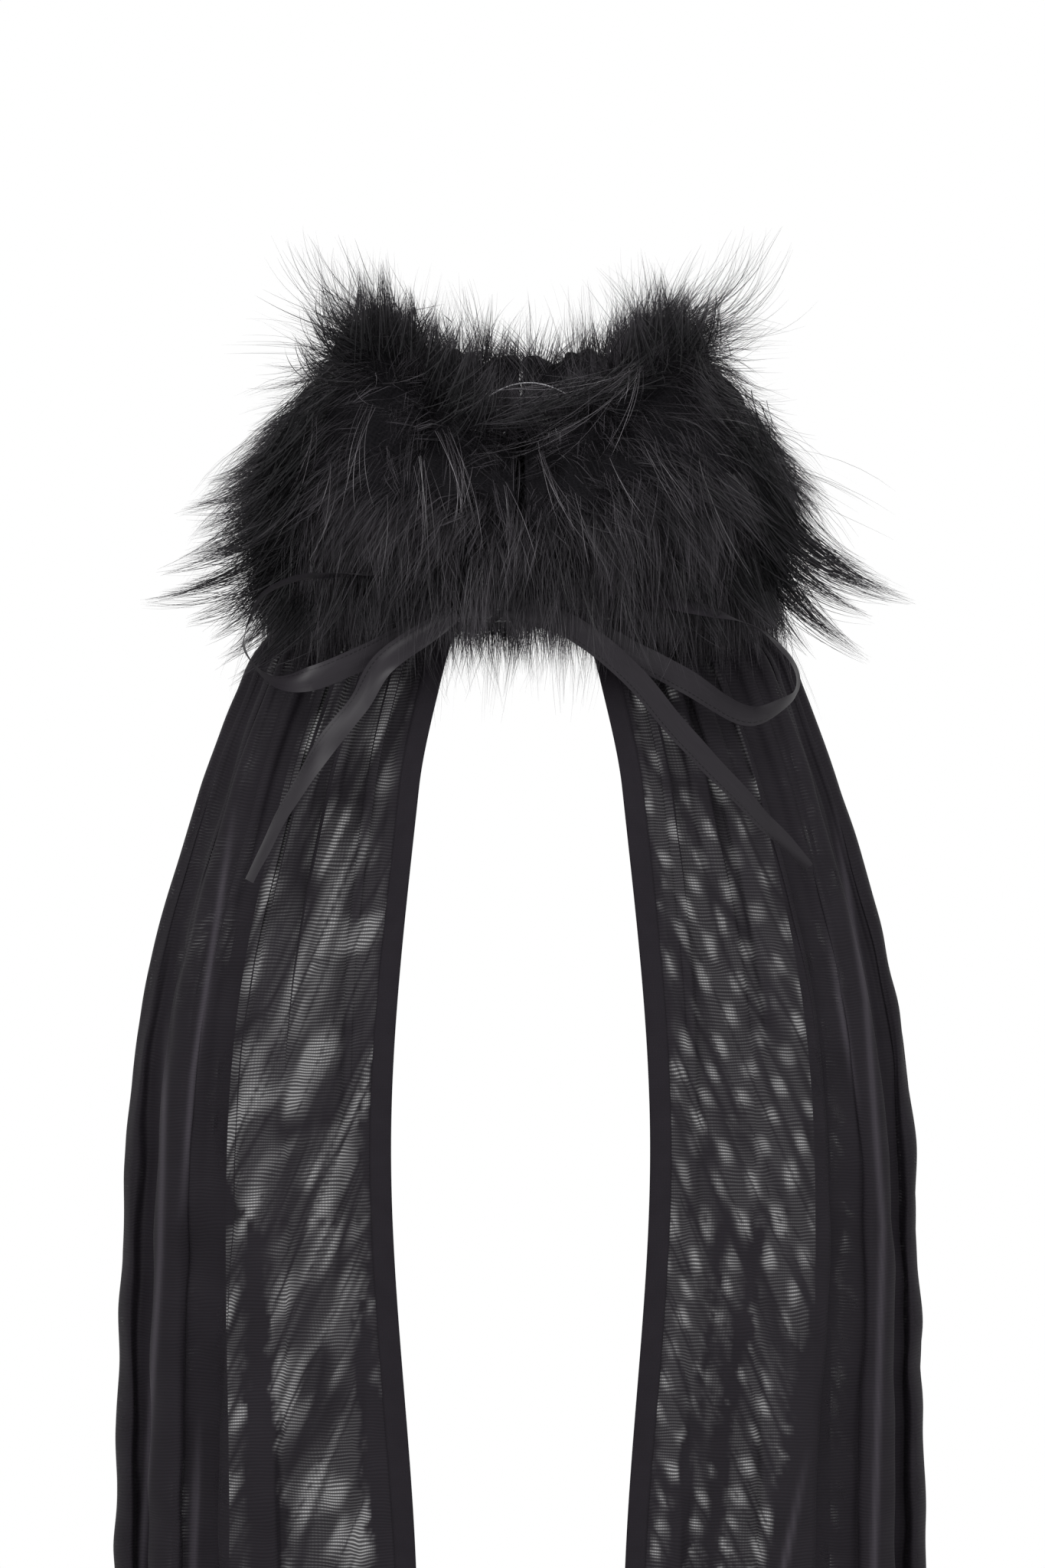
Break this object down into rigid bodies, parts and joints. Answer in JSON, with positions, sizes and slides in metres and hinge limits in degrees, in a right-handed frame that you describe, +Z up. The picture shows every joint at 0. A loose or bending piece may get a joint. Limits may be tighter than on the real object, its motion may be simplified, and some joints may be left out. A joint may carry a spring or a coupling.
{
  "type": "fur collar with sheer scarf panels",
  "caption": "Long-pile black collar that rolls over at the neck and ties in a ribbon bow, with a long sheer mesh panel hanging over each shoulder.",
  "frame": {"origin": "centre of the neck opening, level with the neck binding and the bow", "axes": "+Z up, -Y is the front where the bow ties, +X to the viewer's right when seen from the front"},
  "size_m": [0.5528, 0.3293, 1.216],
  "materials": {
    "pile": "long glossy faux-fur pile, dense undercoat with lighter guard hairs",
    "backing": "knitted backing",
    "wadding": "soft fibre wadding",
    "satin": "satin lining",
    "mesh": "sheer stretch mesh, semi transparent",
    "hem": "double turned mesh, nearly opaque",
    "ribbon": "soft satin ribbon with stitched edge",
    "thread": "pale twisted thread"
  },
  "bodies": {
    "centre_back": {"centre_back_tape": "satin", "hanging_loop": "thread"},
    "left_collar": {"pile_left": "pile", "backing_left": "backing", "wadding_left": "wadding", "under_collar_left": "satin", "neck_binding_left": "satin", "panel_header_left": "hem", "tie_left": "ribbon", "bow_knot": "ribbon"},
    "right_collar": {"pile_right": "pile", "backing_right": "backing", "wadding_right": "wadding", "under_collar_right": "satin", "neck_binding_right": "satin", "panel_header_right": "hem", "tie_right": "ribbon"},
    "left_panel": {"mesh_panel_left": "mesh", "front_hem_left": "hem", "back_hem_left": "hem", "bottom_hem_left": "hem"},
    "right_panel": {"mesh_panel_right": "mesh", "front_hem_right": "hem", "back_hem_right": "hem", "bottom_hem_right": "hem"},
    "left_loop": {"bow_loop_left": "ribbon"},
    "left_tail": {"bow_tail_left": "ribbon"},
    "right_loop": {"bow_loop_right": "ribbon"},
    "right_tail": {"bow_tail_right": "ribbon"}
  },
  "joints": [
    {"name": "left_collar_open", "type": "hinge", "parent": "centre_back", "child": "left_collar", "pos_m": [0, 0.17, 0.1], "axis": [0, 0, -1], "range_deg": [0, 25]},
    {"name": "right_collar_open", "type": "hinge", "parent": "centre_back", "child": "right_collar", "pos_m": [0, 0.17, 0.1], "axis": [0, 0, 1], "range_deg": [0, 25]},
    {"name": "left_panel_lift", "type": "hinge", "parent": "left_collar", "child": "left_panel", "pos_m": [-0.075, 0, 0.004], "axis": [0, 1, 0], "range_deg": [0, 30]},
    {"name": "right_panel_lift", "type": "hinge", "parent": "right_collar", "child": "right_panel", "pos_m": [0.075, 0, 0.004], "axis": [0, -1, 0], "range_deg": [0, 30]},
    {"name": "left_loop_droop", "type": "hinge", "parent": "left_collar", "child": "left_loop", "pos_m": [-0.041, -0.116, 0.003], "axis": [0, -1, 0], "range_deg": [-4, 18]},
    {"name": "right_loop_droop", "type": "hinge", "parent": "right_collar", "child": "right_loop", "pos_m": [-0.011, -0.116, 0.003], "axis": [0, 1, 0], "range_deg": [-4, 18]},
    {"name": "left_tail_swing", "type": "hinge", "parent": "left_collar", "child": "left_tail", "pos_m": [-0.041, -0.127, 0.001], "axis": [0, 1, 0], "range_deg": [-25, 15]},
    {"name": "right_tail_swing", "type": "hinge", "parent": "right_collar", "child": "right_tail", "pos_m": [-0.011, -0.127, 0.001], "axis": [0, -1, 0], "range_deg": [-25, 15]}
  ]
}
